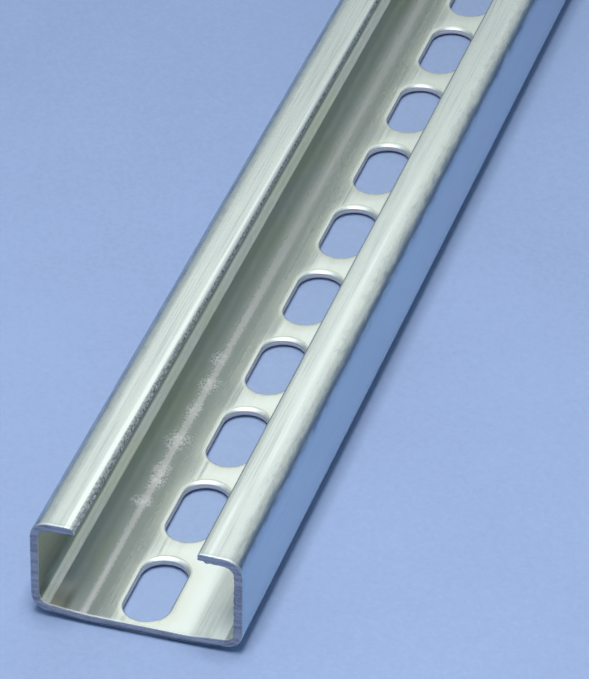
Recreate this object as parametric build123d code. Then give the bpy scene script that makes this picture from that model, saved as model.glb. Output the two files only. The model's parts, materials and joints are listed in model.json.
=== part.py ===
from build123d import *
import math
import os

# Slotted C-channel of rolled steel strip: a cut length of stock, in millimetres.
# X runs across the channel, Y along it and Z up. The web lies on the floor and the mouth looks up.
# The origin is the middle of the length and width, at the underside of the web.

# Section
length = 500.0
width = 41.0
height = 21.0
thickness = 1.5
mouth = 23.5
bend_radius = 3.75

# The web is flat in the middle, and its borders rise a little towards the walls.
web_flat = 20.0
web_rise_angle = 5.0
web_crease_radius = 12.0

# Rounded edges of the slit strip, at the ends of the lips
lip_top_edge_radius = 0.5
lip_under_edge_radius = 0.25

# The row of slots along the middle of the web, with a gap of plain web before each cut end
slot_width = 9.0
slot_length = 19.0
slot_pitch = 25.0
slot_end_gap = 1.8
slot_rim_chamfer = 0.4

# How far the slot cutter passes the web above and below
cutter_overrun = 1.0

# How near an edge's middle is to the place where it is looked for
margin = 0.05


def half_outline():
    """Corner points of the outer face on the +X side, from the mouth's edge down to the web's crease."""
    side = width / 2
    crease = web_flat / 2
    corner_rise = (side - crease) * math.tan(math.radians(web_rise_angle))
    return [(mouth / 2, height), (side, height), (side, corner_rise), (crease, 0)]


def channel_section():
    """The bent strip seen from its end: the outer face with its bends, thickened inwards."""
    right = half_outline()
    left = [(-x, z) for x, z in reversed(right)]
    right_bends = [bend_radius, bend_radius, web_crease_radius]
    outer_face = FilletPolyline(*right, *left, radius=right_bends + right_bends[::-1])
    return make_face(offset(outer_face, thickness, side=Side.RIGHT))


def lip_edges(channel, level):
    """The long edges at the mouth, one on each lip, at the given height."""
    edges = channel.edges().filter_by(Axis.Y)
    edges = edges.filter_by_position(Axis.Z, level - margin, level + margin)
    return [edge for edge in edges if abs(abs(edge.center().X) - mouth / 2) < margin]


def rolled_channel():
    """The channel before punching, sawn to length, with the strip's edges rounded."""
    near_end = Plane(origin=(0, -length / 2, 0), x_dir=(1, 0, 0), z_dir=(0, -1, 0))
    channel = extrude(near_end * channel_section(), -length)
    channel = fillet(lip_edges(channel, height), lip_top_edge_radius)
    return fillet(lip_edges(channel, height - thickness), lip_under_edge_radius)


def slot_places():
    """Where the slots lie along Y: the first by the near end, and as many more as the length holds."""
    first = -length / 2 + slot_end_gap + slot_length / 2
    last_allowed = length / 2 - slot_end_gap - slot_length / 2
    count = int((last_allowed - first) // slot_pitch) + 1
    return [first + slot_pitch * number for number in range(count)]


def slot_cutter():
    """An upright obround with its long side along Y, passing through the web."""
    shape = SlotOverall(slot_length, slot_width, rotation=90)
    return extrude(Pos(0, 0, -cutter_overrun) * shape, thickness + 2 * cutter_overrun)


def slot_rims(channel):
    """The upper edges of the slots, which the punch drew down."""
    reach_x = slot_width / 2 + margin
    reach_y = length / 2 - slot_end_gap / 2
    edges = channel.edges().filter_by_position(Axis.Z, thickness - margin, thickness + margin)
    return edges.filter_by_position(Axis.X, -reach_x, reach_x).filter_by_position(Axis.Y, -reach_y, reach_y)


def slotted_channel():
    """The finished stock: the rolled channel with its row of punched slots."""
    channel = rolled_channel()
    cutter = slot_cutter()
    for place in slot_places():
        channel -= Pos(0, place, 0) * cutter
    return chamfer(slot_rims(channel), slot_rim_chamfer)


os.makedirs("parts", exist_ok=True)
c_channel = slotted_channel()
c_channel.label = "c_channel"
export_step(c_channel, "parts/c_channel.step")
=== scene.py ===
import json
import math

import bmesh
import bpy
import numpy as np
from bpy.props import FloatProperty, FloatVectorProperty, IntProperty, PointerProperty
from bpy.types import Operator, Panel, PropertyGroup
from mathutils import Matrix, Vector


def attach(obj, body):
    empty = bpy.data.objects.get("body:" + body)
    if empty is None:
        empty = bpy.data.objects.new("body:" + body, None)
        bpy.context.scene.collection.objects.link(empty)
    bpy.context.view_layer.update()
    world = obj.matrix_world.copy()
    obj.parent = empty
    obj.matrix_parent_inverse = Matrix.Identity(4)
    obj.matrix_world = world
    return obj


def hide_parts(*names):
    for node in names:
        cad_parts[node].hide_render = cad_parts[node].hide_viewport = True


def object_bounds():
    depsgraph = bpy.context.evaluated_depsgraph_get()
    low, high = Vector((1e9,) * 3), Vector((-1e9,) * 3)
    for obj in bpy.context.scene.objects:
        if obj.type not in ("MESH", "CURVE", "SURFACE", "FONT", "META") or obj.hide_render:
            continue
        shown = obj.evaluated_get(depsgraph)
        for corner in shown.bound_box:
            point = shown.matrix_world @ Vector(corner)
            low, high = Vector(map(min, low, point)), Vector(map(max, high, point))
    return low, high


bl_info = {
    "name": "Slotted C-Channel",
    "version": (1, 0, 0),
    "blender": (4, 5, 0),
    "location": "3D View > Sidebar > Channel",
    "description": "Dresses a slotted C-channel in zinc-plated steel and sets its floor, lights and camera",
    "category": "Add Mesh",
}

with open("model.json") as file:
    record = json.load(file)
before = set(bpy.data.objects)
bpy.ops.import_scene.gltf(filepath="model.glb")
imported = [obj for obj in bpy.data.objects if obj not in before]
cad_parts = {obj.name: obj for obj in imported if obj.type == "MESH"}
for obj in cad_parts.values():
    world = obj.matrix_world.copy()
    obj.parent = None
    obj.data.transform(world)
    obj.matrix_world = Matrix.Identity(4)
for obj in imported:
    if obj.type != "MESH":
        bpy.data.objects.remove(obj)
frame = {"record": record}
CAD_BOX = [list(corner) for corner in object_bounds()]
CAD_LOW, CAD_HIGH = (Vector(corner) for corner in CAD_BOX)

# Millimetres in a metre
MM = 1000

# What the record says of the slots, by the pairs of them that take bolts
BOLT_PAIRS = [mount for mount in frame["record"]["mounts"] if mount["kind"] == "bolt_pattern"]
PAIR_SPACINGS = [pair["dims"]["spacing_y_mm"] / MM for pair in BOLT_PAIRS]
SLOT_PITCH = min(PAIR_SPACINGS)
SLOT_COUNT = round(max(PAIR_SPACINGS) / SLOT_PITCH) + 1
FIRST_SLOT = BOLT_PAIRS[0]["pos_m"][1] - max(PAIR_SPACINGS) / 2
UNDER_LIP = next(mount for mount in frame["record"]["mounts"] if mount["kind"] == "slide")["pos_m"][2]

# Rows of vertices on each stretch of the strip
LIP_STEPS = 5
BEND_STEPS = 14
WALL_STEPS = 7
BORDER_STEPS = 5
CREASE_STEPS = 3
EDGE_STEPS = 6
CORE_STEPS = 3
SAWN_STEPS = 3
FACE_POINTS = LIP_STEPS + 2 * BEND_STEPS + WALL_STEPS + BORDER_STEPS + CREASE_STEPS + 1

# Rows of vertices round a slot: straight side, half round end, and its share that faces the short side
STRAIGHT_STEPS = 6
ROUND_STEPS = 18
SHORT_SIDE_STEPS = 12
CORNER_STEPS = (ROUND_STEPS - SHORT_SIDE_STEPS) // 2
LONG_SIDE_STEPS = STRAIGHT_STEPS + 2 * CORNER_STEPS
RIM_STEPS = 7
RIM_POWER = 1.4

# Rows of a slot's profile on its raw wall, how far out its rows round the rim lie as a share of the rim's
# reach, and the height over which its wall widens to the underside
RAW_ROWS = slice(4, 7)
RIM_CLEARANCE = 1.3
BREAK_HEIGHT = 0.00008

# The burr at a sawn end: points along it, where on the strip it grows and from what share of its height,
# its fine and its broad unevenness as least share, spread in points and seed, and how far inside it stays
BURR_STEPS = 700
BURR_GROWS = (0.62, 0.67)
BURR_LEFT_SHARE = 0.25
BURR_TEETH = (0.3, 7, 4)
BURR_SWELLS = (0.6, 90, 5)
BURR_GAP = 0.00001

# Scuffs on the web: place across, place from the near end, and half their size both ways, in millimetres
SCUFFS = (
    (-11.2, 56.7, 4.2, 4),
    (-10.8, 47, 2.6, 3.2),
    (-10.4, 43.2, 2.4, 4),
    (-11.4, 36, 3.6, 2.6),
    (-10.8, 76, 3.2, 3.8),
    (-11.8, 85, 2.6, 3),
    (-11, 67, 2.2, 4),
)

# Noises of the plating: repeats per millimetre across, along and into the strip, then detail and roughness
PATTERNS = {
    "streaks": ((3, 0.03, 3), 4, 0.65), "waves": ((0.45, 0.012, 0.45), 2, 0.5),
    "clouds": ((0.22, 0.07, 0.22), 3, 0.6), "peel": ((1.1, 1.1, 1.1), 3, 0.6),
    "grain": ((4, 4, 4), 2, 0.6), "pits": ((2.2, 1.5, 2.2), 3, 0.7),
    "ragged": ((0.7, 0.16, 0.7), 4, 0.7), "wander": ((0, 0.03, 0), 1, 0.5),
    "rubbed": ((3.2, 1.5, 3.2), 4, 0.7), "scuffed": ((3, 2.4, 3), 4, 0.75),
    "stained": ((0.14, 0.035, 0.14), 2, 0.5), "spotted": ((0.9, 0.3, 0.9), 4, 0.7),
    "saw": ((0.12, 0.12, 1.3), 3, 0.7),
}

# Zones of the strip by value and face, in millimetres: where each is 0 and where it is whole, and for some
# also up to where it stays whole and where it is 0 again. Across and beside are counted along the outer face
# from the web's middle: the web's border ends at 17.1, the wall runs from 22.7 to 35.6, the lip to 46.4.
ZONES = {
    ("beside", "outside"): {
        "wall": (20.5, 22.5, 36.9, 38.4), "peeled": (38.5, 40.2, 40.2, 41.9), "lip": (41, 42)},
    ("beside", "inside"): {
        "border": (9, 12.5), "foot": (13.6, 15.6, 20, 20.8), "crazed": (13, 19, 19, 25)},
    ("beside", None): {"slot_row": (12, 11), "sawn_foot": (18, 16)},
    # Painted highlight bands on the right lip
    ("across", "outside"): {
        "inner_polish": (41.1, 42.3, 42.3, 43.5), "outer_polish": (43.4, 44.1, 44.1, 44.8)},
    ("across", "inside"): {
        "left_wall": (-21.5, -24.5), "left_border": (-13, -14.5), "stained_border": (-9, -12),
        # lit: painted light on the web where light falls through the mouth between the lips
        "pressed": (-10.5, -6.5, -6.5, -2.5), "lit": (-6.5, -3.5, 9, 12.5)},
    ("across", None): {"scuffed_band": (-13.3, -10.9, -10.9, -8.5), "right_side": (-5, 5)},
    ("from_near", None): {
        "corner_shade": (9, 2.5), "end_shade": (45, 12), "outer_stretch": (28, 12),
        "inner_stretch": (16, 36), "polished_stretch": (190, 90), "worn_lip": (190, -10),
        "scuffed_stretch": (32, 38, 85, 130), "broken_stretch": (140, 75)},
    # underside: painted shade on the lower part of the sawn ends
    ("depth", None): {"underside": (0.55, 0.3)},
}

# The same for distances from other lines and for noises
MARKS = {
    # Painted marks: rim line and side line are shade lines, bend is a dark reflection, pale, edge line and
    # cut edge are highlights
    "halo": (0.6, 1.3, 1.4, 3.4), "rim": (0.05, -0.15), "rim line": (-0.02, 0.14, 0.14, 0.3),
    "side line": (-0.1, 0.06, 0.06, 0.22), "seam": (-0.32, -0.1, -0.1, 0.12),
    "bend": (36.6, 38.15, 38.15, 39.7), "pale": (2, 0.7), "edge line": (0.7, 0.4),
    "edge slope": (0.75, -0.65), "edge face": (-0.35, -0.65), "cut edge": (0.7, 0.35),
    "rubbed": (0.38, 0.6), "scuffed": (0.46, 0.58), "stained": (0.42, 0.62), "spotted": (0.48, 0.66),
    "streaked": (0.5, 0.34), "dark pits": (0.58, 0.38), "bright pits": (0.43, 0.57), "saw": (0.4, 0.58),
}

# What each mark adds to the metallic share, to the roughness, and to the grain and the relief in millimetres
METALLIC = {
    "worn": -0.3, "raw": -0.4, "edge_line": -0.1, "inside": -0.08, "foot": -0.4, "pale": 0.45,
    "border": -0.08, "raw_wall": -0.3}
ROUGHNESS = {
    "worn": 0.25, "raw": 0.25, "crazed": 0.06, "peeled": 0.1, "far_rim": 0.35, "cut_edge": 0.3,
    "pale": -0.1, "edge_line": 0.04, "edge_face": 0.25, "pressed": 0.09}
GRAIN = {"raw": 0.02, "worn": 0.006, "crazed": 0.006, "peeled": 0.01, "edge_face": 0.012}
RELIEF = {
    "waves": 0.09, "streaks": 0.003, "peel": 0.01, "grain": 0.001, "edge_slope": -0.13, "flattened": 0.19}

# Middle of the pale line on the inner lower bends, a painted highlight, and half the width over which the
# rolls flattened them
PALE_LINE = 18.8
FLATTENED_HALF_WIDTH = 1.6

# How far the left lip's edge line, a painted highlight, lies from its edge, and how much further it is worn
# down at the near end
EDGE_LINE = 0.1
EDGE_LINE_SHIFT = 1.35

# Noises of the floor: repeats per metre, detail and roughness, then the share by which its tones part
FLOOR_GRAIN = (900, 3, 0.7)
FLOOR_CLOUDS = (25, 2, 0.5)
FLOOR_CONTRAST = 0.07

# Where the lights aim, in the middle of the camera's view, and each soft box: its place from there, and its
# width and height
LIT_PLACE = Vector((0, -0.15, 0))
KEY_DISTANCE = 1.6
KEY_AZIMUTH = math.radians(-8)
KEY_ELEVATION = math.radians(46)
KEY_SIZE = (0.85, 0.7)
OVERHEAD_PLACE = Vector((0.02, -0.17, 0.58))
OVERHEAD_SIZE = (0.17, 0.4)

# Where the high sky starts and is whole: a direction's share towards the far end
SKY_BEYOND = (0.2, 0.7)


def metres(name, description, default):
    """A property that holds a length in metres."""
    return FloatProperty(name=name, description=description, unit="LENGTH", default=default)


def degrees(name, description, default):
    """A property that holds an angle, given in degrees."""
    return FloatProperty(name=name, description=description, subtype="ANGLE", default=math.radians(default))


def share(name, description, default):
    """A property that holds a share between 0 and 1."""
    return FloatProperty(name=name, description=description, subtype="FACTOR", default=default, min=0, max=1)


def colour(name, owner, default, kind="Colour of"):
    """A property that holds a colour."""
    description = f"{kind} {owner}"
    return FloatVectorProperty(name=name, description=description, subtype="COLOR", size=3, default=default)


def tone(name, place, default):
    """A property that holds the share of its colour that the plating keeps at a place."""
    return colour(name, place, default, "Share of its colour that the plating keeps")


class ChannelSizes(PropertyGroup):
    """Sizes of the rolled strip and of its slots."""
    length: metres("Length", "Length of the piece", CAD_HIGH.y - CAD_LOW.y)
    width: metres("Width", "Width over the walls", CAD_HIGH.x - CAD_LOW.x)
    height: metres("Height", "Height over web and lips", CAD_HIGH.z - CAD_LOW.z)
    thickness: metres("Thickness", "Thickness of the strip", CAD_HIGH.z - UNDER_LIP)
    mouth: metres("Mouth", "Opening between the lips", 0.0235)
    bend_radius: metres("Bend radius", "Outer radius of the bends", 0.00375)
    web_flat: metres("Flat of the web", "Width of the web's level middle", 0.02)
    web_rise: degrees("Rise of the web", "Slope of the web's borders", 5)
    crease_radius: metres("Crease radius", "Outer radius of the web's creases", 0.012)
    slot_width: metres("Slot width", "Width of a slot", 2 * BOLT_PAIRS[0]["dims"]["hole_r_mm"] / MM)
    slot_length: metres("Slot length", "Length of a slot", BOLT_PAIRS[0]["dims"]["slot_length_mm"] / MM)
    slot_pitch: metres("Slot pitch", "Distance from slot to slot", SLOT_PITCH)
    first_slot: metres("First slot", "Middle of the first slot", FIRST_SLOT)
    slot_count: IntProperty(name="Slots", description="Number of slots", default=SLOT_COUNT, min=1)
    rim_reach: metres("Rim reach", "Width of a slot's drawn rim", 0.0009)
    rim_side_share: share("Rim at the sides", "Share of the rim at a slot's sides and near end", 0.4)
    rim_depth: metres("Rim depth", "How far the punch drew the rim down", 0.0005)
    break_out: metres("Break-out", "How much a slot widens underneath", 0.00012)
    lip_top_radius: metres("Lip top edge", "Rounding of the lips' upper edges", 0.0005)
    lip_under_radius: metres("Lip under edge", "Rounding of the lips' lower edges", 0.0003)
    worn_edge: metres("Worn edge", "Extra rounding of the left lip", 0.0003)
    worn_corner: metres("Worn corner", "Further rounding at the near end", 0.0004)
    worn_reach: metres("Worn reach", "Length over which it fades", 0.06)
    sawn_edge: metres("Sawn edge", "Rounding of the sawn edges", 0.00026)
    slot_cell_half_width: metres("Slot strip", "Half width of the strip that holds the slots", 0.009)
    edge_droop: metres("Edge droop", "How far the lips' faces fall away at their edges", 0.0001)
    edge_droop_reach: metres("Droop reach", "Width of the droop", 0.0018)
    shoulder_sink: metres("Shoulder sink", "How far the strip sinks where a lip ends", 0.00007)
    shoulder_width: metres("Shoulder width", "Width of the sink to each side", 0.0017)
    burr_height: metres("Burr", "Height of the burr at the sawn ends", 0.0004)


class ZincFinish(PropertyGroup):
    """Colours, gloss and marks of the plated steel."""
    zinc: colour("Zinc", "the plating", (0.71, 0.765, 0.7))
    zinc_cool: colour("Cool zinc", "its cooler clouds", (0.67, 0.73, 0.685))
    # Bright zinc is the colour of the painted highlights and of the painted light on the web
    zinc_bright: colour("Bright zinc", "the polished plating", (0.91, 0.98, 0.91))
    zinc_dull: colour("Dull plating", "the web's borders under the lips", (0.98, 0.95, 0.8))
    zinc_warm: colour("Warm zinc", "the zinc round the slots", (0.78, 0.82, 0.68))
    # Painted dark blue reflection of the shaded floor on the outer walls
    wall_reflection_tone: tone("Wall tone", "on the walls' outside", (0.63, 0.75, 0.97))
    # Painted dark reflection on the upper bends, also the colour of the spots beside them
    bend_reflection_and_spot_tone: tone("Bend tone", "on the upper bends", (0.42, 0.48, 0.62))
    # Painted shade inside the left wall and in its corner at the near end
    painted_shade_tone: tone("Under tone", "inside the left wall", (0.4, 0.41, 0.38))
    # Painted shade lines round the slots' rims
    groove_tone: tone("Groove tone", "in the lines at a slot's rim", (0.52, 0.52, 0.52))
    stain_tone: tone("Stain tone", "in the web's faint stains", (0.98, 0.99, 0.9))
    edge_tone: tone("Edge tone", "on the worn lip edge", (0.5, 0.52, 0.54))
    streak_tone: tone("Streak tone", "in the rolls' streaks", (0.78, 0.81, 0.83))
    rubbed: colour("Rubbed line", "the rubbed line", (0.68, 0.67, 0.65))
    rub_width: metres("Rubbed width", "Width of the rubbed line", 0.0024)
    rub_shift: metres("Rubbed place", "How far outside the crease it lies", 0.0007)
    scuffed: colour("Scuffs", "the scuffs", (0.95, 0.92, 0.9))
    dish_reach: metres("Dish reach", "Width of the dish round a slot", 0.0034)
    dish_depth: metres("Dish depth", "Depth of the dish round a slot", 0.00005)
    slit: colour("Slit edges", "the lips' slit edges", (0.62, 0.64, 0.63))
    # Dark specks of the slit edges, and painted shade on the lower part of the web's sawn ends
    dark_specks_and_end_shade: colour("Dark slit edges", "their dark specks", (0.1, 0.11, 0.12))
    raw: colour("Raw edges", "the sawn, slit and punched faces", (0.5, 0.52, 0.6))
    raw_dark: colour("Dark raw edges", "their dark specks", (0.25, 0.25, 0.33))
    # Bright sheared steel, lightened further as painted light in the slots
    sheared: colour("Sheared walls", "the slots' bright sheared walls", (0.95, 0.86, 0.86))
    metal: share("Metallic", "Metallic share of clean plating", 0.8)
    gloss: share("Roughness", "Roughness of clean plating", 0.2)


class StudioStage(PropertyGroup):
    """Floor, lights and camera."""
    floor_colour: colour("Floor", "the floor", (0.365, 0.47, 0.69))
    floor_gap: metres("Floor gap", "How far the floor sags", 0.0007)
    sky_low: colour("Low sky", "the light from all other directions", (0.09, 0.165, 0.28))
    sky_high: colour("High sky", "the light from above the far end", (0.59, 0.625, 0.64))
    sky_rise: degrees("Sky's rise", "Height where it is whole", 34)
    key_radiance: FloatProperty(name="Key light", description="Radiance of the far soft box", default=0.5)
    overhead_radiance: FloatProperty(name="Overhead", description="Radiance of the upper box", default=13.4)
    camera_distance: metres("Distance", "From the camera to its aim", 0.9462)
    camera_azimuth: degrees("Azimuth", "Camera's turn round the channel", 16.662)
    camera_elevation: degrees("Elevation", "Camera's angle above the floor", 35.203)
    camera_roll: degrees("Roll", "Camera's turn about its own axis", 0.795)
    camera_aim: FloatVectorProperty(
        name="Aim", description="Point that the camera looks at", subtype="TRANSLATION", size=3,
        default=(0.0002, -0.1518, 0.0))
    camera_lens: FloatProperty(
        name="Lens", description="Focal length for a 36 mm long side", default=250.7, unit="CAMERA")


def strip_runs(sizes):
    """Length and curvature of each run of the strip's outer face, from lip edge to lip edge.

    The outline is a polygon whose corners are rounded by arcs: an arc takes from each of its sides its
    radius times the tangent of half its turn.
    """
    rise = sizes.web_rise
    side = sizes.width / 2
    crease = sizes.web_flat / 2
    corner_height = (side - crease) * math.tan(rise)
    lower_turn = math.pi / 2 - rise
    lower_back = sizes.bend_radius * math.tan(lower_turn / 2)
    crease_back = sizes.crease_radius * math.tan(rise / 2)
    half = [
        (side - sizes.mouth / 2 - sizes.bend_radius, 0),
        (sizes.bend_radius * math.pi / 2, 1 / sizes.bend_radius),
        (sizes.height - sizes.bend_radius - corner_height - lower_back, 0),
        (sizes.bend_radius * lower_turn, 1 / sizes.bend_radius),
        ((side - crease) / math.cos(rise) - lower_back - crease_back, 0),
        (sizes.crease_radius * rise, 1 / sizes.crease_radius),
    ]
    return np.array(half + [(sizes.web_flat - 2 * crease_back, 0)] + half[::-1])


def follow_strip(sizes, along, depth):
    """Places in the section, across and up, of points at a way along the outer face and a depth under it.

    On a run that starts with heading h, a point at way s has moved, for curvature k, by
    (sin(h + k s) - sin h) / k across and (cos h - cos(h + k s)) / k up, and on a straight run by s times
    the heading. The depth is added along the heading turned a quarter to the left.
    """
    lengths, curvatures = strip_runs(sizes).T

    def travel(heading, curvature, way):
        straight = curvature == 0
        bend = np.where(straight, 1, curvature)
        turned = heading + bend * way
        across = np.where(straight, np.cos(heading) * way, (np.sin(turned) - np.sin(heading)) / bend)
        up = np.where(straight, np.sin(heading) * way, (np.cos(heading) - np.cos(turned)) / bend)
        return across, up

    def sums_before(values):
        return np.hstack([[0], np.cumsum(values)[:-1]])

    starts = sums_before(lengths)
    headings = math.pi + sums_before(lengths * curvatures)
    run_across, run_up = travel(headings, curvatures, lengths)
    run = np.clip(np.searchsorted(starts, along, side="right") - 1, 0, len(starts) - 1)
    way = along - starts[run]
    across, up = travel(headings[run], curvatures[run], way)
    heading = headings[run] + curvatures[run] * way
    x = -sizes.mouth / 2 + sums_before(run_across)[run] + across - np.sin(heading) * depth
    z = sizes.height + sums_before(run_up)[run] + up + np.cos(heading) * depth
    return x, z


def rolled_relief(sizes, way):
    """How far the rolls pressed the strip inwards at a way along it.

    At a lip's free edge it is the droop times the square of the share of the droop's reach that is left.
    A quarter of the shoulder's width past the start of each upper bend it is a bell curve: the sink times e
    to minus the squared distance in shoulder widths.
    """
    from_edge = np.minimum(way, strip_width(sizes) - way)
    left_over = np.clip(1 - from_edge / sizes.edge_droop_reach, 0, 1)
    bend_start = strip_runs(sizes)[0, 0]
    off_shoulder = (from_edge - bend_start - sizes.shoulder_width / 4) / sizes.shoulder_width
    return sizes.edge_droop * left_over ** 2 + sizes.shoulder_sink * np.exp(-off_shoulder ** 2)


def strip_width(sizes):
    """Width of the flat strip, measured along the outer face."""
    return strip_runs(sizes)[:, 0].sum()


def cell_stations(sizes):
    """Rows of vertices along the channel: each slot's stretch, which ends half way to its neighbours, is cut
    into equal steps. Returns one row of places for each slot, and the slots' middles."""
    middles = sizes.first_slot + sizes.slot_pitch * np.arange(sizes.slot_count)
    end = sizes.length / 2 - sizes.sawn_edge
    borders = np.hstack([[-end], (middles[:-1] + middles[1:]) / 2, [end]])
    share = np.linspace(0, 1, LONG_SIDE_STEPS + 1)
    return borders[:-1, None] + (borders[1:] - borders[:-1])[:, None] * share, middles


def worn_away(sizes, y):
    """Extra rounding of the left lip's upper edge: the worn edge, and the worn corner times e to minus the
    distance from the near end in worn reaches."""
    return sizes.worn_edge + sizes.worn_corner * np.exp(-(y + sizes.length / 2) / sizes.worn_reach)


def side_profile(sizes, worn):
    """One side of the strip as a line round its edge, one for each of the given extra edge roundings.

    It runs under the outer face from the slots' strip to the lip, round the lip's edge, and back over the
    inner face. The edge is two quarter rounds with a straight core between them. Returns way and depth.
    """
    lengths = strip_runs(sizes)[:6, 0]
    ends = np.cumsum(lengths)
    middle = strip_width(sizes) / 2
    steps = (BEND_STEPS, WALL_STEPS, BEND_STEPS, BORDER_STEPS, CREASE_STEPS)
    lip_start = sizes.lip_top_radius + sizes.worn_edge + sizes.worn_corner + sizes.lip_under_radius
    runs = [np.linspace(lip_start, lengths[0], LIP_STEPS)]
    for start, end, count in zip(ends[:-1], ends[1:], steps):
        runs.append(np.linspace(start, end, count + 1)[1:])
    face = np.hstack(runs + [[middle - sizes.slot_cell_half_width]])
    top = sizes.lip_top_radius + worn[:, None]
    under = np.full_like(top, sizes.lip_under_radius)
    turn = np.linspace(0, math.pi / 2, EDGE_STEPS + 1)
    core = np.linspace(0, 1, CORE_STEPS + 1)[1:-1]
    thickness = sizes.thickness
    outer = np.broadcast_to(face[::-1], (len(worn), len(face)))
    way = np.hstack([
        outer, top * (1 - np.sin(turn)), np.zeros((len(worn), len(core))), under * (1 - np.cos(turn)),
        outer[:, ::-1]])
    depth = np.hstack([
        np.zeros(outer.shape), top * (1 - np.cos(turn)), top + (thickness - under - top) * core,
        thickness - under * (1 - np.sin(turn)), np.full(outer.shape, thickness)])
    return way, depth


def slot_outline(sizes, offset):
    """Points round slots, counter-clockwise from the lower end of the right straight side.

    A slot is two half rounds joined by straight sides, each half the other turned round. The offset moves
    the outline outwards.
    """
    radius = sizes.slot_width / 2
    half_straight = sizes.slot_length / 2 - radius
    side = np.linspace(-half_straight, half_straight, STRAIGHT_STEPS + 1)[:-1]
    turn = np.linspace(0, math.pi, ROUND_STEPS + 1)[:-1]

    def all_round(straight, rounded):
        half = np.hstack([straight, rounded])
        return np.hstack([half, -half])

    across = all_round(np.ones(STRAIGHT_STEPS), np.cos(turn))
    out_along = all_round(np.zeros(STRAIGHT_STEPS), np.sin(turn))
    base = all_round(side, np.full(ROUND_STEPS, half_straight))
    return across * (radius + offset), base + out_along * (radius + offset)


def cell_border(sizes, rows):
    """Points on the border of each slot's rectangle of web, one for each point of its outline."""
    half = sizes.slot_cell_half_width
    columns = np.linspace(-half, half, SHORT_SIDE_STEPS + 1)
    across = np.hstack([
        np.full(LONG_SIDE_STEPS, half), columns[:0:-1], np.full(LONG_SIDE_STEPS, -half), columns[:-1]])
    along = np.hstack([
        rows[:, :-1], np.repeat(rows[:, -1:], SHORT_SIDE_STEPS, axis=1),
        rows[:, :0:-1], np.repeat(rows[:, :1], SHORT_SIDE_STEPS, axis=1)])
    across = np.broadcast_to(across, along.shape)
    return np.roll(across, -CORNER_STEPS, axis=1), np.roll(along, -CORNER_STEPS, axis=1)


def slot_skins(sizes):
    """Web round every slot: a profile carried round its outline, from the rectangle's border under the web,
    up the slot's wall and over its drawn rim, to the same border on top.

    The wall stands upright above and widens towards the underside. The rim is a bevel with round shoulders:
    the powers of its cosine and sine are between an ellipse's and a straight line's. It has its full size at
    the far end and shrinks with the sine of the turn towards the sides. Returns way, depth and place along.
    """
    rows, middles = cell_stations(sizes)
    border_across, border_along = cell_border(sizes, rows)
    thickness = sizes.thickness
    far_round = np.sin(np.linspace(0, math.pi, ROUND_STEPS + 1)[:-1])
    facing = np.hstack([np.zeros(STRAIGHT_STEPS), far_round, np.zeros(STRAIGHT_STEPS + ROUND_STEPS)])
    lean = at_least(sizes.rim_side_share, facing)
    turn = np.linspace(0, math.pi / 2, RIM_STEPS + 1)
    rim_offset = sizes.rim_reach * np.outer(1 - np.cos(turn) ** RIM_POWER, lean)
    rim_depth = thickness - sizes.rim_depth * np.outer(1 - np.sin(turn) ** RIM_POWER, lean)
    reach = sizes.rim_reach * RIM_CLEARANCE
    broken = sizes.break_out
    even = np.ones(len(lean))
    wall_offset = np.outer([reach, reach, reach, broken + BREAK_HEIGHT, broken, 0], even)
    wall_depth = np.outer([0, 0, 0, 0, BREAK_HEIGHT, thickness / 2], even)
    offset = np.vstack([wall_offset, rim_offset, np.outer([reach] * 3, even)])
    depth = np.vstack([wall_depth, rim_depth, np.outer([thickness] * 3, even)])
    share = np.hstack([[1, 0.5, 0, 0, 0, 0], np.zeros(RIM_STEPS + 1), [0, 0.5, 1]])[:, None]
    across, along = slot_outline(sizes, offset)
    across = across[None] * (1 - share) + border_across[:, None] * share
    along = (middles[:, None, None] + along[None]) * (1 - share) + border_along[:, None] * share
    way = strip_width(sizes) / 2 + across
    return way, np.broadcast_to(depth, way.shape), along


def section_loop(sizes, y):
    """The strip's section at a place along it as one closed line, with the directions into the metal."""
    way, depth = (line[0] for line in side_profile(sizes, worn_away(sizes, np.array([y]))))
    right_way, right_depth = (line[0] for line in side_profile(sizes, np.zeros(1)))
    width = strip_width(sizes)
    half = sizes.slot_cell_half_width
    columns = width / 2 + np.linspace(-half, half, SHORT_SIDE_STEPS + 1)[1:-1]
    turn = np.linspace(0, math.pi / 2, EDGE_STEPS + 1)
    in_way = np.hstack([
        np.zeros(FACE_POINTS), np.sin(turn), np.ones(CORE_STEPS - 1), np.cos(turn), np.zeros(FACE_POINTS)])
    in_depth = np.hstack([
        np.ones(FACE_POINTS), np.cos(turn), np.zeros(CORE_STEPS - 1), -np.sin(turn), -np.ones(FACE_POINTS)])
    none, one = np.zeros(len(columns)), np.ones(len(columns))
    loop_way = np.hstack([way, columns, width - right_way[::-1], columns[::-1]])
    loop_depth = np.hstack([depth, one * sizes.thickness, right_depth[::-1], none])
    loop_in_way = np.hstack([in_way, none, -in_way[::-1], none])
    loop_in_depth = np.hstack([in_depth, -one, in_depth[::-1], one])
    return loop_way, loop_depth, loop_in_way, loop_in_depth


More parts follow.
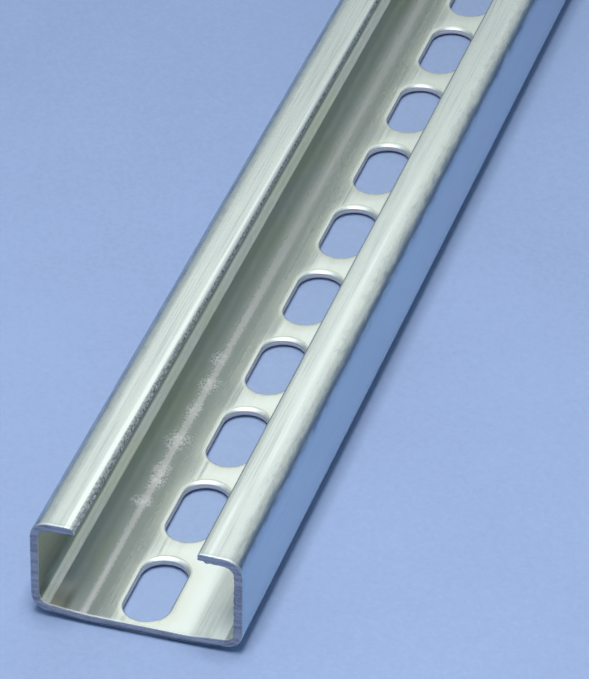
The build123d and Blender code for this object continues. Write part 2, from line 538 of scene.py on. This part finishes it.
def sawn_end(sizes, sign):
    """One sawn end: a small round carried round the section, then the flat cut face.

    The round is a quarter circle from the faces to the cut. The cut face runs straight from each point of
    the outer face's side to its partner on the inner face's side.
    """
    end = sizes.length / 2
    edge = sizes.sawn_edge
    way, depth, in_way, in_depth = section_loop(sizes, sign * (end - edge))
    turn = np.linspace(0, math.pi / 2, SAWN_STEPS + 1)[:, None]
    inset = edge * (1 - np.cos(turn))
    ring_way = way + in_way * inset
    ring_depth = depth + in_depth * inset
    ring_y = np.broadcast_to(sign * (end - edge + edge * np.sin(turn)), ring_way.shape)
    side = (len(way) - 2 * (SHORT_SIDE_STEPS - 1)) // 2
    half = (side - (CORE_STEPS - 1)) // 2
    corners = np.cumsum([side, SHORT_SIDE_STEPS - 1, side])
    share = np.linspace(0, 1, CORE_STEPS + 1)[:, None]

    def cut_face(line):
        left, top, right, bottom = np.split(line, corners)
        under = np.hstack([right[-half:], bottom, left[:half]])[::-1]
        over = np.hstack([left[-half:], top, right[:half]])
        return under * (1 - share) + over * share

    face_way = cut_face(ring_way[-1])
    face_y = np.full(face_way.shape, sign * end)
    return (ring_way, ring_depth, ring_y), (face_way, cut_face(ring_depth[-1]), face_y)


def at_least(least, share):
    """A share from 0 to 1 laid over the range from the least value to 1."""
    return least + (1 - least) * share


def rough_line(count, least, spread, seed):
    """Even noise from the least value to 1 for a row of points: random numbers averaged over a stretch and
    then spread over the whole range."""
    numbers = np.random.default_rng(seed).random(count + spread)
    smooth = np.convolve(numbers, np.hanning(spread + 2)[1:-1], mode="same")[:count]
    return at_least(least, (smooth - smooth.min()) / (smooth.max() - smooth.min()))


def sawn_burr(sizes, sign):
    """The saw's burr: a thin ragged fin along the inner edge of a sawn end.

    Its section is a ring of four corners: a foot sunk in the metal, the fin's back, its tip at the cut, and
    the cut itself. The tip's height along the strip is a fine noise times a broad one, times a share that is
    whole on the right side. At both ends of the fin the ring shrinks to a point.
    """
    width = strip_width(sizes)
    way = np.linspace(sizes.lip_top_radius * 2, width - sizes.lip_top_radius * 2, BURR_STEPS)
    share = np.interp(way / width, BURR_GROWS, (BURR_LEFT_SHARE, 1))
    noise = rough_line(BURR_STEPS, *BURR_TEETH) * rough_line(BURR_STEPS, *BURR_SWELLS)
    tip = sizes.burr_height * share * noise
    sink = np.full(BURR_STEPS, -sizes.sawn_edge)
    over = np.stack([sink, tip * 0.35, tip, sink, sink])
    inset = np.array([1.0, 0.5, 0.0, 0.0, 1.0])[:, None] * (sizes.sawn_edge + 0.6 * np.abs(tip))
    whole = np.clip(np.minimum(way - way[0], way[-1] - way) / sizes.lip_top_radius, 0, 1)
    depth = sizes.thickness - sizes.sawn_edge + (over + sizes.sawn_edge) * whole
    along = sign * (sizes.length / 2 - BURR_GAP - inset * whole)
    across = np.broadcast_to(way, depth.shape)
    return across, depth, along, False, np.ones(depth.shape), 1


def grid_quads(shape, first, closed):
    """Faces of one grid of points or of many: the shape's last two sizes are a grid's rows and columns."""
    index = first + np.arange(np.prod(shape)).reshape((-1, *shape[-2:]))
    if closed:
        index = np.concatenate([index, index[:, :, :1]], axis=2)
    corners = (index[:, :-1, :-1], index[:, :-1, 1:], index[:, 1:, 1:], index[:, 1:, :-1])
    return np.stack([corner.ravel() for corner in corners], axis=1)


def channel_surfaces(sizes):
    """Every surface of the channel as way, depth, along, closed, rawness and sawnness."""
    rows, _ = cell_stations(sizes)
    y = np.hstack([rows[:, :-1].ravel(), rows[-1, -1:]])
    way, depth = side_profile(sizes, worn_away(sizes, y))
    plain_way, plain_depth = side_profile(sizes, np.zeros(len(y)))
    along = np.broadcast_to(y[:, None], way.shape)
    width = strip_width(sizes)
    edge_raw = np.zeros(way.shape)
    edge_raw[:, FACE_POINTS + EDGE_STEPS // 2 + 1:-FACE_POINTS - EDGE_STEPS + 1] = 1
    surfaces = [
        (way, depth, along, False, edge_raw, 0),
        (width - plain_way[:, ::-1], plain_depth[:, ::-1], along, False, edge_raw[:, ::-1], 0)]
    slots = slot_skins(sizes)
    slot_raw = np.zeros(slots[0].shape)
    slot_raw[:, RAW_ROWS] = 1
    surfaces.append((*slots, True, slot_raw, 0))
    for sign in (-1, 1):
        ring, face = sawn_end(sizes, sign)
        ring_raw = np.broadcast_to(np.linspace(0, 1, SAWN_STEPS + 1)[:, None] ** 2, ring[0].shape)
        surfaces.append((*ring, True, ring_raw, 1))
        surfaces.append((*face, False, np.ones(face[0].shape), 1))
        surfaces.append(sawn_burr(sizes, sign))
    return surfaces


def add_object(name, data):
    """An object in the scene that shows the data."""
    thing = bpy.data.objects.new(name, data)
    bpy.context.scene.collection.objects.link(thing)
    return thing


def add_mesh(name, points, quads):
    """A mesh object made of points and four-cornered faces."""
    mesh = bpy.data.meshes.new(name)
    mesh.from_pydata(points, [], quads)
    return add_object(name, mesh)


def build_channel(sizes):
    """The channel's mesh, with the strip's own coordinates and its raw faces kept as attributes."""
    points, faces, strips, raws, sawns = [], [], [], [], []
    first = 0
    middle = strip_width(sizes) / 2
    for way, depth, along, closed, raw, sawn in channel_surfaces(sizes):
        x, z = follow_strip(sizes, way, depth + rolled_relief(sizes, way))
        points.append(np.stack([x, along, z], axis=-1).reshape(-1, 3))
        strips.append(np.stack([way - middle, along, depth], axis=-1).reshape(-1, 3))
        raws.append(np.asarray(raw, float).ravel())
        sawns.append(np.full(way.size, float(sawn)))
        faces.append(grid_quads(way.shape, first, closed))
        first += way.size
    points = np.concatenate(points)
    piece = add_mesh("zinc_plated_channel", points.tolist(), np.concatenate(faces).tolist())
    mesh = piece.data
    strip = mesh.attributes.new("strip", "FLOAT_VECTOR", "POINT")
    strip.data.foreach_set("vector", np.concatenate(strips).ravel())
    for name, values in (("raw", raws), ("sawn", sawns)):
        attribute = mesh.attributes.new(name, "FLOAT", "POINT")
        attribute.data.foreach_set("value", np.concatenate(values))
    skin = bmesh.new()
    skin.from_mesh(mesh)
    bmesh.ops.remove_doubles(skin, verts=skin.verts, dist=1e-6)
    bmesh.ops.recalc_face_normals(skin, faces=skin.faces)
    skin.to_mesh(mesh)
    open_edges = sum(1 for edge in skin.edges if len(edge.link_faces) != 2)
    skin.free()
    if open_edges:
        raise RuntimeError(f"The channel's surface has {open_edges} open edges")
    mesh.shade_smooth()
    return piece


class Socket:
    """A shader value that takes part in Python arithmetic: each operation adds its Math node. A sum and a
    product read the same both ways, so their reflected forms are the plain ones."""

    def __init__(self, shader, output):
        self.shader = shader
        self.output = output

    def maths(self, operation, *values):
        return self.shader.node("ShaderNodeMath", {"operation": operation}, dict(enumerate(values)))

    def __add__(self, other):
        return self.maths("ADD", self, other)

    __radd__ = __add__

    def __sub__(self, other):
        return self.maths("SUBTRACT", self, other)

    def __rsub__(self, other):
        return self.maths("SUBTRACT", other, self)

    def __mul__(self, other):
        return self.maths("MULTIPLY", self, other)

    __rmul__ = __mul__

    def __truediv__(self, other):
        return self.maths("DIVIDE", self, other)

    def __pow__(self, other):
        return self.maths("POWER", self, other)

    def __mod__(self, other):
        return self.maths("FLOORED_MODULO", self, other)

    def __abs__(self):
        return self.maths("ABSOLUTE", self)


class Shader:
    """The node tree of a material or a world, filled by one method that adds any node."""

    def __init__(self, owner):
        self.owner = owner
        owner.use_nodes = True
        self.nodes = owner.node_tree.nodes
        self.links = owner.node_tree.links
        self.nodes.clear()

    def node(self, kind, settings=None, sockets=None, output=0):
        """Adds a node: settings first, then its sockets' values or links. Returns an output, or None."""
        node = self.nodes.new(kind)
        for name, value in (settings or {}).items():
            setattr(node, name, value)
        for name, value in (sockets or {}).items():
            if isinstance(value, Socket):
                self.links.new(value.output, node.inputs[name])
            else:
                node.inputs[name].default_value = value
        return None if output is None else Socket(self, node.outputs[output])

    def attribute(self, name, output):
        """A mesh attribute: output 1 is its vector and output 2 its number."""
        return self.node("ShaderNodeAttribute", {"attribute_name": name}, None, output)

    def parts(self, vector):
        """The three numbers of a vector."""
        first = self.node("ShaderNodeSeparateXYZ", None, {0: vector})
        return [Socket(self, output) for output in first.output.node.outputs]

    def stretch(self, vector, factors):
        """The vector with each of its numbers multiplied by its factor."""
        return self.node("ShaderNodeVectorMath", {"operation": "MULTIPLY"}, {0: vector, 1: factors})

    def noise(self, vector, scale, detail, roughness):
        """Noise between 0 and 1 that varies round 0.5."""
        return self.node("ShaderNodeTexNoise", None, {
            "Vector": vector, "Scale": scale, "Detail": detail, "Roughness": roughness})

    def rise(self, value, low, high):
        """0 below low and 1 above high, with an even curve between. It falls where high is the lesser."""
        sockets = {"Value": value, "From Min": min(low, high), "From Max": max(low, high)}
        rise = self.node("ShaderNodeMapRange", {"interpolation_type": "SMOOTHSTEP"}, sockets)
        return rise if low < high else 1 - rise

    def band(self, value, middle, half_width):
        """1 at the middle and 0 from the half width outwards."""
        return self.rise(abs(value - middle), half_width, 0)

    def larger(self, first, second):
        """The larger of a value and another value or number."""
        return first.maths("MAXIMUM", first, second)

    def mix(self, share, first, second, blend="MIX"):
        """The first colour turned into the second by the share, or blended with it in another way."""
        settings = {"data_type": "RGBA", "blend_type": blend, "clamp_factor": True}
        sockets = {0: share, 6: with_alpha(first), 7: with_alpha(second)}
        return self.node("ShaderNodeMix", settings, sockets, output=2)

    def times(self, share, first, second):
        """The first colour multiplied by the second to the share given."""
        return self.mix(share, first, second, "MULTIPLY")

    def finish(self, surface, output_kind="ShaderNodeOutputMaterial"):
        """Links the surface to the tree's output and returns the tree's owner."""
        self.node(output_kind, None, {"Surface": surface}, output=None)
        return self.owner


def with_alpha(colour):
    """A colour as a socket takes it: a link as it is, and three numbers with their alpha."""
    return colour if isinstance(colour, Socket) else (*colour, 1.0)


class Strip(Shader):
    """A material's tree with a point's place on the flat strip, in millimetres, and its marks.

    across is counted from the web's middle and beside is the same to both sides, along from the channel's
    middle and from_near from its near end, and depth from the outer face. Each of the ZONES is a value too,
    and so is each mark that the functions below add.
    """

    def __init__(self, material, sizes):
        super().__init__(material)
        self.place = self.stretch(self.attribute("strip", 1), (MM, MM, MM))
        self.across, self.along, self.depth = self.parts(self.place)
        self.beside = abs(self.across)
        self.from_near = self.along + sizes.length * MM / 2
        self.raw = self.attribute("raw", 2)
        self.sawn = self.attribute("sawn", 2)
        self.inside = self.rise(self.depth, sizes.thickness * MM * 0.45, sizes.thickness * MM * 0.55)
        self.outside = 1 - self.inside
        for name in ("streaks", "waves", "clouds", "peel", "grain", "pits"):
            setattr(self, name, self.pattern(name))
        for (value, side), zones in ZONES.items():
            for name, places in zones.items():
                zone = self.zone(getattr(self, value), *places)
                setattr(self, name, zone * getattr(self, side) if side else zone)

    def pattern(self, name, place=None):
        """One of the noises of PATTERNS, on the strip or at another place."""
        factors, detail, roughness = PATTERNS[name]
        return self.noise(self.stretch(place or self.place, factors), 1.0, detail, roughness)

    def zone(self, value, start, whole, *rest):
        """0 before the start and 1 from whole on, or else 1 up to the first of the rest and 0 after it."""
        zone = self.rise(value, start, whole)
        return zone * self.rise(value, rest[1], rest[0]) if rest else zone

    def mark(self, value, name):
        """One of the MARKS, at a value."""
        return self.zone(value, *MARKS[name])

    def specks(self, name):
        """The specks that a mark takes from the pattern of its name."""
        return self.mark(self.pattern(name), name)

    def total(self, weights):
        """Sum of some marks, each times its weight."""
        return sum(getattr(self, name) * weight for name, weight in weights.items())


def slot_distance(strip, sizes):
    """Distance in millimetres from the wall of the nearest slot, less than 0 inside it, and how much the
    wall faces the far end.

    The place along is folded into one pitch. The distance is that from the slot's middle line, less its
    half width. The second number is 1 beyond the slot's far end, and falls to 0 beside the slot.
    """
    pitch = sizes.slot_pitch * MM
    half_width = sizes.slot_width * MM / 2
    half_straight = sizes.slot_length * MM / 2 - half_width
    from_middle = (strip.along + (pitch / 2 - sizes.first_slot * MM)) % pitch - pitch / 2
    past_straight = strip.larger(abs(from_middle) - half_straight, 0.0)
    from_line = (strip.across ** 2 + past_straight ** 2) ** 0.5
    facing = strip.larger(from_middle - half_straight, 0.0) / strip.larger(from_line, 1.0)
    return from_line - half_width, facing


def mark_slots(strip, finish, sizes):
    """Adds what the punch left: the rim, with a painted highlight on it, a painted shade line round it, the
    warm halo, the shallow dish, and the bright sheared wall, lightened further with painted light, with a
    dark seam under the rim."""
    from_wall, facing = slot_distance(strip, sizes)
    lean = at_least(sizes.rim_side_share, facing)
    from_rim = from_wall - lean * (sizes.rim_reach * MM)
    from_wall_top = strip.depth + lean * (sizes.rim_depth * MM) - sizes.thickness * MM
    # Painted shade lines: round the rim at the far end and along the wall at the sides
    groove = strip.mark(from_rim, "rim line") * facing + strip.mark(from_wall, "side line") * (1 - facing)
    strip.groove = groove * strip.inside
    # The rim carries a painted highlight, whitest at the far end
    strip.rim = strip.mark(from_rim, "rim") * strip.inside
    strip.far_rim = strip.rim * facing
    strip.halo = strip.mark(from_wall, "halo") * strip.inside
    strip.dish = strip.larger(1 - from_wall * (1 / (finish.dish_reach * MM)), 0.0) ** 2
    strip.in_slot = strip.slot_row * (1 - strip.sawn)
    strip.raw_wall = strip.in_slot * strip.raw
    strip.sheared = strip.in_slot * 0.8 * (1 - strip.mark(from_wall_top, "seam") * 0.9)


def mark_wear(strip, finish, sizes):
    """Adds the rubbed line beside the left crease and the scuffs round it.

    The line is broken by specks near the near end and twice as wide and fainter beyond. The scuffs are
    specks in a faint band along the line, and more of them at the places in SCUFFS.
    """
    wander = (strip.pattern("wander") - 0.5) * 0.5
    from_line = strip.across + (sizes.web_flat / 2 + finish.rub_shift) * MM + wander
    narrowed = from_line * at_least(0.45, strip.broken_stretch)
    rub = strip.band(narrowed, 0, finish.rub_width * MM / 2) * strip.inside
    strip.rub = rub * at_least(0.45, strip.broken_stretch * strip.specks("rubbed"))
    scuffed = strip.scuffed_stretch * strip.scuffed_band * 0.5
    for across, from_near, half_across, half_along in SCUFFS:
        near = strip.band(strip.from_near, from_near, half_along)
        scuffed += strip.band(strip.across, across, half_across) * near
    strip.scuffed = scuffed * strip.specks("scuffed") * strip.inside
    strip.worn = strip.larger(strip.rub, strip.scuffed)


def mark_rolling(strip):
    """Adds what the rolls left on the lips, the bends and the web, where the web's feet are bright or dull,
    its faint stains and the spots beside the upper bends, and painted light and shade: a pale highlight on
    the inner lower bends, a dark reflection along the upper bends, and shade inside the left wall, deepest
    at the near end and in its corner there.
    """
    ragged = strip.pattern("ragged") - 0.5
    from_bend = abs(strip.beside - PALE_LINE)
    # The pale line: a painted highlight on the inner lower bends
    strip.pale = strip.mark(from_bend + ragged * 1.2, "pale") * strip.inside
    strip.flattened = strip.larger(1 - (from_bend / FLATTENED_HALF_WIDTH) ** 2, 0.0) * strip.inside
    # A painted dark reflection along the upper bends
    strip.bend = strip.mark(strip.beside + ragged * 3.0, "bend") * strip.outside
    strip.right_foot = strip.foot * strip.right_side
    strip.left_foot = strip.foot - strip.right_foot
    # Painted shade inside the left wall and in its corner at the near end
    corner_shade = strip.corner_shade * strip.left_border * (1 - strip.pale * 0.6)
    strip.shade = strip.larger(strip.left_wall * at_least(0.45, strip.end_shade), corner_shade)
    strip.stain = strip.specks("stained") * strip.stained_border
    strip.spots = strip.specks("spotted") * strip.peeled * 0.35
    strip.streaked = strip.mark(strip.streaks, "streaked") * strip.lip


def mark_lips(strip, sizes):
    """Adds the left lip's edge, worn further down towards the near end, with a painted highlight line along
    it, the painted highlight bands on the right lip, and painted highlights on the edges of the cuts."""
    from_edge = strip.across + strip_width(sizes) * MM / 2 - EDGE_LINE
    from_line = from_edge - EDGE_LINE_SHIFT * strip.worn_lip
    # The edge line: a painted highlight on the left lip's rounded edge
    strip.edge_line = strip.mark(abs(from_line), "edge line") * strip.outside
    strip.edge_slope = strip.mark(from_line, "edge slope") * strip.outside
    strip.edge_face = strip.mark(from_line, "edge face") * strip.outside
    # Painted highlight bands on the right lip
    polish = strip.inner_polish * strip.inner_stretch + strip.outer_polish * strip.outer_stretch
    strip.polished = polish * (0.1 + strip.clouds) * strip.polished_stretch
    # Painted highlights on the edges of the sawn ends
    strip.cut_edge = strip.mark(sizes.length * MM / 2 - abs(strip.along), "cut edge")


def cut_colour(strip, finish):
    """Colour of the faces without plating: sawn ends, sheared slot walls and slit lip edges."""
    place = strip.stretch(strip.node("ShaderNodeTexCoord", None, None, output=3), (MM, MM, MM))
    scratches = strip.grain * 0.5 + strip.pattern("saw", place) * 0.5
    cut = strip.mix(strip.mark(scratches, "saw"), finish.raw_dark, finish.raw)
    # Painted shade on the lower part of the web's sawn ends
    cut = strip.times(strip.underside * strip.sawn_foot * strip.sawn * 0.8, cut, finish.dark_specks_and_end_shade)
    # The slots' sheared walls: bright steel, lightened further as painted light
    cut = strip.mix(strip.sheared, cut, finish.sheared)
    slit = strip.mix(strip.mark(strip.pits, "bright pits"), finish.dark_specks_and_end_shade, finish.slit)
    return strip.mix(strip.larger(strip.sawn, strip.in_slot), slit, cut)


def plated_colour(strip, finish):
    """Colour of the plating: cloudy zinc under layers that turn it into a colour or multiply it by one; some
    layers paint in highlights, reflections and shade.
    """
    # Painted highlights on the left lip's edge line and on the edges of the cuts
    ends = strip.larger(strip.edge_line, strip.cut_edge * (0.35 + 0.30 * strip.inside))
    # Painted highlights on the right lip's bands and on the slots' rims
    bright = strip.larger(strip.polished, strip.rim * 0.25 + strip.far_rim * 0.75)
    layers = (
        # Painted highlight on the inner lower bends, painted light on the web where light falls through the
        # mouth, and the web's right foot brightened
        (strip.mix, strip.pale * 0.9 + strip.lit * 0.55 + strip.right_foot * 0.6, finish.zinc_bright),
        (strip.mix, strip.left_foot * 0.8 - strip.pale * 0.6, finish.zinc_dull),
        (strip.mix, strip.halo * strip.clouds, finish.zinc_warm),
        # Painted dark blue reflection of the shaded floor on the outer walls
        (strip.times, strip.wall, finish.wall_reflection_tone),
        # Painted dark reflection along the upper bends
        (strip.times, strip.bend, finish.bend_reflection_and_spot_tone),
        (strip.times, strip.streaked, finish.streak_tone),
        # Painted shade inside the left wall and in its corner at the near end
        (strip.times, strip.shade, finish.painted_shade_tone),
        # Painted shade lines round the slots' rims
        (strip.times, strip.groove, finish.groove_tone),
        (strip.times, strip.stain, finish.stain_tone),
        (strip.times, strip.spots, finish.bend_reflection_and_spot_tone),
        # Painted highlights on the left lip's edge line, the edges of the cuts, the slots' rims and the
        # right lip's bands
        (strip.mix, strip.larger(ends, bright) * 0.85, finish.zinc_bright),
        (strip.times, strip.edge_face * strip.mark(strip.pits, "dark pits"), finish.edge_tone),
        (strip.mix, strip.rub, finish.rubbed),
        (strip.mix, strip.scuffed, finish.scuffed),
    )
    plating = strip.mix(strip.clouds, finish.zinc, finish.zinc_cool)
    for blend, amount, layer in layers:
        plating = blend(amount, plating, layer)
    return plating


def zinc_material(finish, sizes):
    """Bright zinc plating on rolled strip, with its bare faces.

    The relief's height in millimetres is the sum of RELIEF, the grain times the sum of GRAIN and the pits
    of the flattened bends, less the dish round the slots.
    """
    strip = Strip(bpy.data.materials.new("zinc_plated_steel"), sizes)
    mark_slots(strip, finish, sizes)
    mark_wear(strip, finish, sizes)
    mark_rolling(strip)
    mark_lips(strip, sizes)
    height = strip.total(RELIEF) + strip.grain * strip.total(GRAIN) + strip.flattened * strip.pits * 0.1
    height -= strip.dish * (finish.dish_depth * MM)
    roughness = finish.gloss + (strip.clouds - 0.5) * 0.10 + (strip.streaks - 0.5) * 0.08
    surface = strip.node("ShaderNodeBsdfPrincipled", None, {
        "Base Color": strip.mix(strip.raw, plated_colour(strip, finish), cut_colour(strip, finish)),
        "Metallic": finish.metal + strip.total(METALLIC),
        "Roughness": roughness + strip.total(ROUGHNESS),
        "Normal": strip.node("ShaderNodeBump", None, {"Strength": 1, "Distance": 1 / MM, "Height": height})})
    return strip.finish(surface)


def floor_material(stage):
    """Plain matt sheet with a faint grain."""
    shader = Shader(bpy.data.materials.new("pale_floor"))
    place = shader.node("ShaderNodeTexCoord", None, None, output=3)
    grain = shader.noise(place, *FLOOR_GRAIN)
    clouds = shader.noise(place, *FLOOR_CLOUDS)
    pale = [value * (1 + FLOOR_CONTRAST) for value in stage.floor_colour]
    deep = [value * (1 - FLOOR_CONTRAST) for value in stage.floor_colour]
    share = 0.5 + (grain - 0.5) * 1.6 + (clouds - 0.5) * 0.8
    surface = shader.node("ShaderNodeBsdfPrincipled", None, {
        "Base Color": shader.mix(share, pale, deep), "Roughness": 0.85, "Specular IOR Level": 0.15})
    return shader.finish(surface)


class CHANNEL_OT_rolled_channel(Operator):
    """Build the rolled and punched channel and plate it"""
    bl_idname = "channel.rolled_channel"
    bl_label = "Rolled channel"

    def execute(self, context):
        sizes = context.scene.channel_sizes
        piece = build_channel(sizes)
        piece.data.materials.append(zinc_material(context.scene.zinc_finish, sizes))
        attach(piece, "root")
        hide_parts("c_channel")
        return {"FINISHED"}


def toward(azimuth, elevation):
    """Unit vector at an angle to the right of the channel's far end, and an angle above the floor."""
    level = math.cos(elevation)
    return Vector((level * math.sin(azimuth), level * math.cos(azimuth), math.sin(elevation)))


def add_soft_box(name, place, size, radiance):
    """A rectangular lamp that faces the channel, with its width level and its height upright.

    Its power is its radiance times its area times pi.
    """
    lamp = bpy.data.lights.new(name, "AREA")
    lamp.shape = "RECTANGLE"
    lamp.size, lamp.size_y = size
    lamp.energy = radiance * size[0] * size[1] * math.pi
    away = place.normalized()
    level = (Vector((1, 0, 0)) - away * away.x).normalized()
    turn = Matrix((level, away.cross(level), away)).transposed().to_4x4()
    add_object(name, lamp).matrix_world = Matrix.Translation(LIT_PLACE + place) @ turn


def add_floor(stage):
    """One large square under the channel."""
    half = 6.0
    level = -stage.floor_gap
    corners = [(-half, -half, level), (half, -half, level), (half, half, level), (-half, half, level)]
    floor = add_mesh("floor", corners, [(0, 1, 2, 3)])
    floor.data.materials.append(floor_material(stage))


def add_camera(stage):
    """Camera on a sphere round its aim, rolled about its own axis."""
    away = toward(math.pi - stage.camera_azimuth, stage.camera_elevation)
    camera = bpy.data.cameras.new("camera")
    camera.lens = stage.camera_lens
    camera.sensor_width = 36
    camera.clip_end = 50
    turn = (-away).to_track_quat("-Z", "Y").to_matrix() @ Matrix.Rotation(stage.camera_roll, 3, "Z")
    place = Vector(stage.camera_aim) + away * stage.camera_distance
    bpy.context.scene.camera = add_object("camera", camera)
    bpy.context.scene.camera.matrix_world = Matrix.Translation(place) @ turn.to_4x4()


def set_sky(stage):
    """Light from all round, bright above the far end and dim elsewhere."""
    sky = Shader(bpy.data.worlds.new("sky"))
    _, beyond, height = sky.parts(sky.node("ShaderNodeTexCoord"))
    share = sky.rise(height, 0.0, math.sin(stage.sky_rise)) * sky.rise(beyond, *SKY_BEYOND)
    light = sky.mix(share, stage.sky_low, stage.sky_high)
    background = sky.node("ShaderNodeBackground", None, {"Color": light})
    bpy.context.scene.world = sky.finish(background, "ShaderNodeOutputWorld")


class CHANNEL_OT_studio(Operator):
    """Set the floor, the soft lights and the camera"""
    bl_idname = "channel.studio"
    bl_label = "Studio"

    def execute(self, context):
        stage = context.scene.studio_stage
        context.scene.view_settings.view_transform = "Standard"
        add_floor(stage)
        set_sky(stage)
        key_place = KEY_DISTANCE * toward(KEY_AZIMUTH, KEY_ELEVATION)
        add_soft_box("key", key_place, KEY_SIZE, stage.key_radiance)
        add_soft_box("overhead", OVERHEAD_PLACE, OVERHEAD_SIZE, stage.overhead_radiance)
        add_camera(stage)
        return {"FINISHED"}


class CHANNEL_PT_sidebar(Panel):
    """Sidebar panel with the sizes, the finish and the operators"""
    bl_idname = "CHANNEL_PT_sidebar"
    bl_label = "Slotted C-Channel"
    bl_space_type = "VIEW_3D"
    bl_region_type = "UI"
    bl_category = "Channel"

    def draw(self, context):
        for name, group in GROUPS.items():
            box = self.layout.box()
            for setting in group.__annotations__:
                box.prop(getattr(context.scene, name), setting)
        for operator in OPERATORS:
            self.layout.operator(operator.bl_idname)


OPERATORS = (CHANNEL_OT_rolled_channel, CHANNEL_OT_studio)
GROUPS = {"channel_sizes": ChannelSizes, "zinc_finish": ZincFinish, "studio_stage": StudioStage}
CLASSES = (*GROUPS.values(), *OPERATORS, CHANNEL_PT_sidebar)


def register():
    for cls in CLASSES:
        bpy.utils.register_class(cls)
    for name, group in GROUPS.items():
        setattr(bpy.types.Scene, name, PointerProperty(type=group))


def unregister():
    for name in GROUPS:
        delattr(bpy.types.Scene, name)
    for cls in reversed(CLASSES):
        bpy.utils.unregister_class(cls)


def main():
    register()
    bpy.ops.channel.rolled_channel()
    bpy.ops.channel.studio()


if __name__ == "__main__":
    main()
